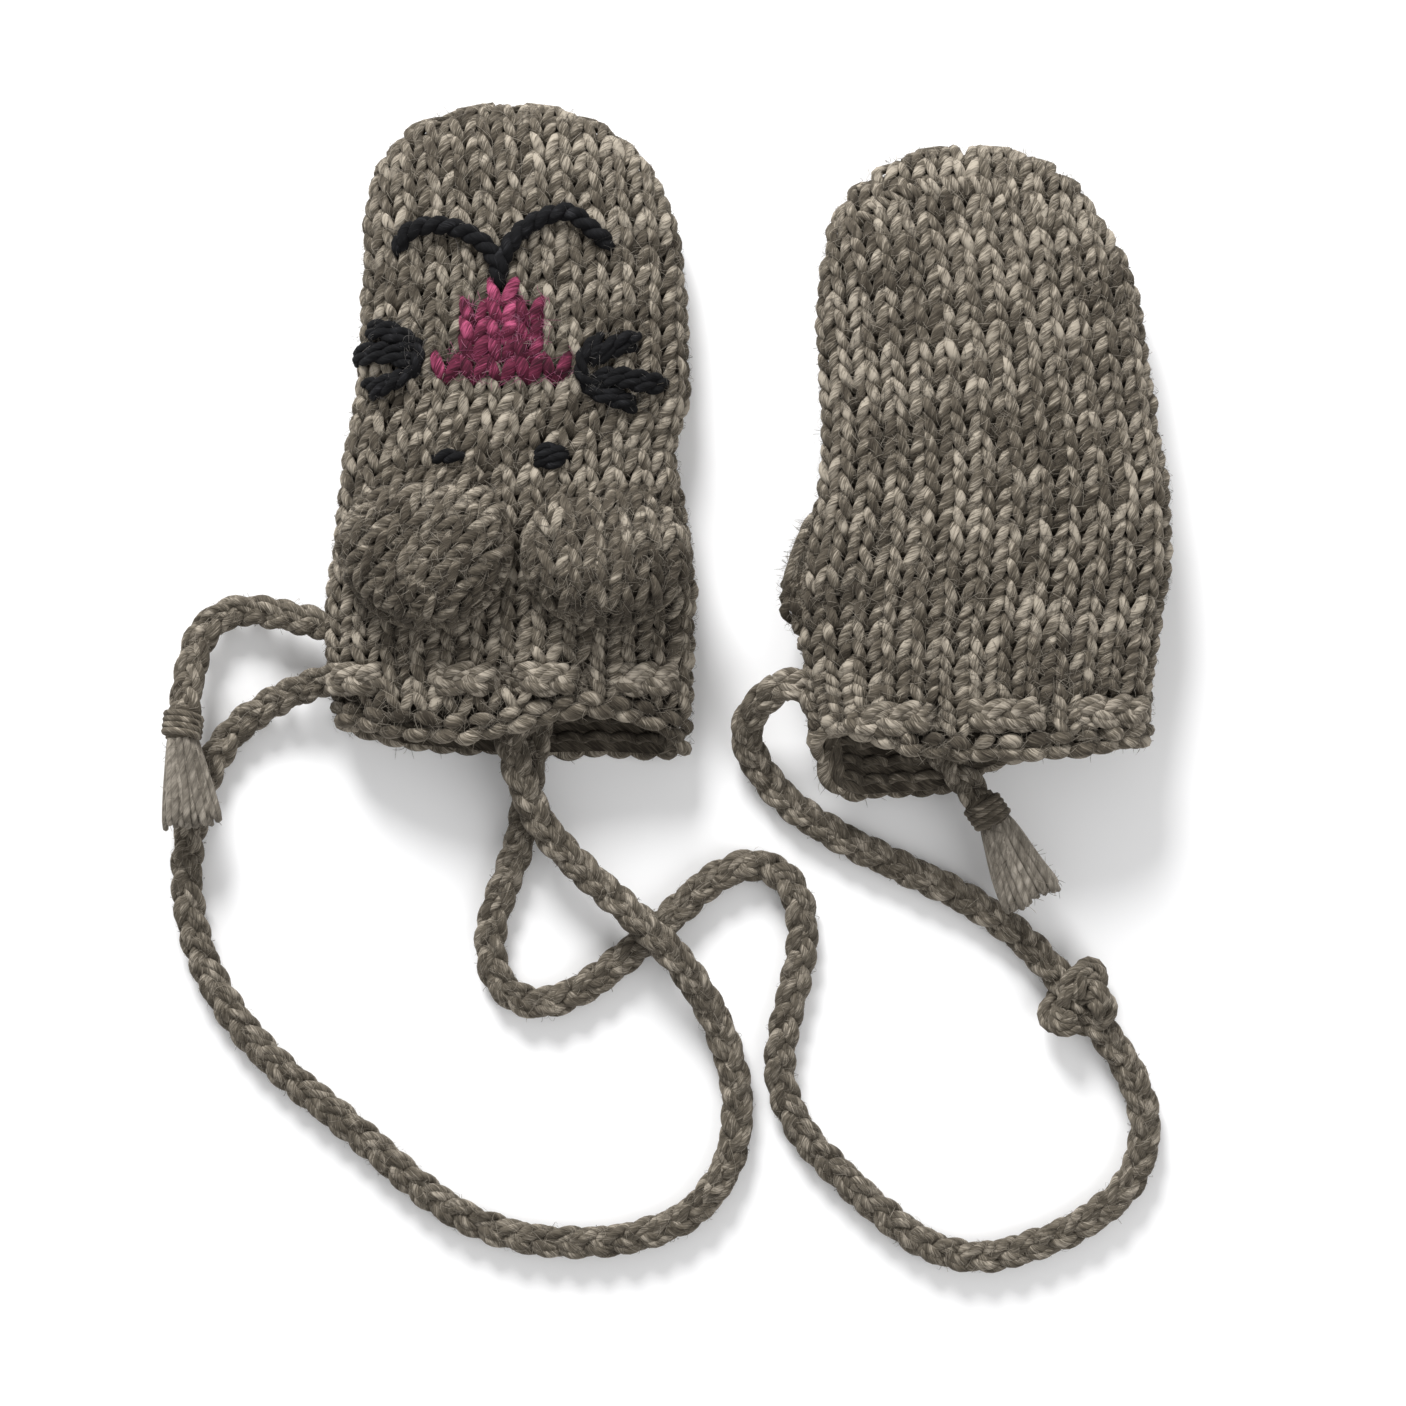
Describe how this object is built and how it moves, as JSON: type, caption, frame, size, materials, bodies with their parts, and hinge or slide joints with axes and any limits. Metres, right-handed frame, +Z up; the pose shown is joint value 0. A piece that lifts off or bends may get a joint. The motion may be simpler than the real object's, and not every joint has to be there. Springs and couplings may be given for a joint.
{
  "type": "knitted animal puppet mitten pair",
  "caption": "Pair of chunky knitted mittens with an animal face that double as hand puppets, joined by a long braided drawstring cord with tassels.",
  "frame": {"origin": "middle of the two mittens' bounding box, on the table they lie on", "axes": "+X across the pair from mitten A to mitten B, +Y from the wrists to the fingertips, +Z up off the table"},
  "size_m": [0.2108, 0.2463, 0.0254],
  "materials": {
    "wool_hand": "heathered taupe stockinette knit",
    "wool_cuff": "heathered taupe garter knit",
    "wool_ear": "heathered taupe knit, padded",
    "wool_seam": "taupe sewing yarn",
    "wool_braid": "three-strand braided taupe yarn",
    "tassel_yarn": "loose taupe yarn ends",
    "pink_yarn": "pink duplicate-stitch yarn",
    "black_yarn": "black embroidery yarn"
  },
  "bodies": {
    "mitten_a": {"hand_a": "wool_hand", "cuff_a": "wool_cuff", "drawstring_a": "wool_braid", "ear_left_seam_a": "wool_seam", "ear_right_seam_a": "wool_seam", "nose_a": "pink_yarn", "mouth_a": "black_yarn", "whiskers_left_a": "black_yarn", "whiskers_right_a": "black_yarn", "eye_left_a": "black_yarn", "eye_right_a": "black_yarn", "tip_seam_a": "wool_seam", "main_cord": "wool_braid", "cord_knot": "wool_braid", "cord_end_a": "wool_braid", "tassel_wrap_a": "wool_seam"},
    "ear_left_a": {"ear_left_a": "wool_ear"},
    "ear_right_a": {"ear_right_a": "wool_ear"},
    "mitten_b": {"hand_b": "wool_hand", "cuff_b": "wool_cuff", "drawstring_b": "wool_braid", "ear_left_seam_b": "wool_seam", "ear_right_seam_b": "wool_seam", "nose_b": "pink_yarn", "mouth_b": "black_yarn", "whiskers_left_b": "black_yarn", "whiskers_right_b": "black_yarn", "eye_left_b": "black_yarn", "eye_right_b": "black_yarn", "tip_seam_b": "wool_seam", "cord_end_b": "wool_braid", "tassel_wrap_b": "wool_seam"},
    "ear_left_b": {"ear_left_b": "wool_ear"},
    "ear_right_b": {"ear_right_b": "wool_ear"},
    "tassel_a": {"tassel_a": "tassel_yarn"},
    "tassel_b": {"tassel_b": "tassel_yarn"}
  },
  "joints": [
    {"name": "ear_left_a_flap", "type": "hinge", "parent": "mitten_a", "child": "ear_left_a", "pos_m": [-0.06545, -0.01, 0.0206], "axis": [-1, 0, 0], "range_deg": [0, 75]},
    {"name": "ear_right_a_flap", "type": "hinge", "parent": "mitten_a", "child": "ear_right_a", "pos_m": [-0.02895, -0.012, 0.0206], "axis": [-1, 0, 0], "range_deg": [0, 75]},
    {"name": "mitten_b_swing", "type": "hinge", "parent": "mitten_a", "child": "mitten_b", "pos_m": [0.00755, -0.0516, 0.015], "axis": [0, 0, 1], "range_deg": [-5, 12]},
    {"name": "ear_left_b_flap", "type": "hinge", "parent": "mitten_b", "child": "ear_left_b", "pos_m": [0.06371, -0.01373, 0.00236], "axis": [0.9995, 0.0314, 0], "range_deg": [0, 75]},
    {"name": "ear_right_b_flap", "type": "hinge", "parent": "mitten_b", "child": "ear_right_b", "pos_m": [0.02499, -0.01694, 0.00245], "axis": [0.9995, 0.0314, 0], "range_deg": [0, 75]},
    {"name": "tassel_a_swing", "type": "hinge", "parent": "mitten_a", "child": "tassel_a", "pos_m": [-0.11718, -0.06245, 0.0121], "axis": [0, 0, 1], "range_deg": [-12, 12]},
    {"name": "tassel_b_swing", "type": "hinge", "parent": "mitten_b", "child": "tassel_b", "pos_m": [0.05306, -0.07999, 0.0111], "axis": [0, 0, 1], "range_deg": [-12, 12]}
  ]
}
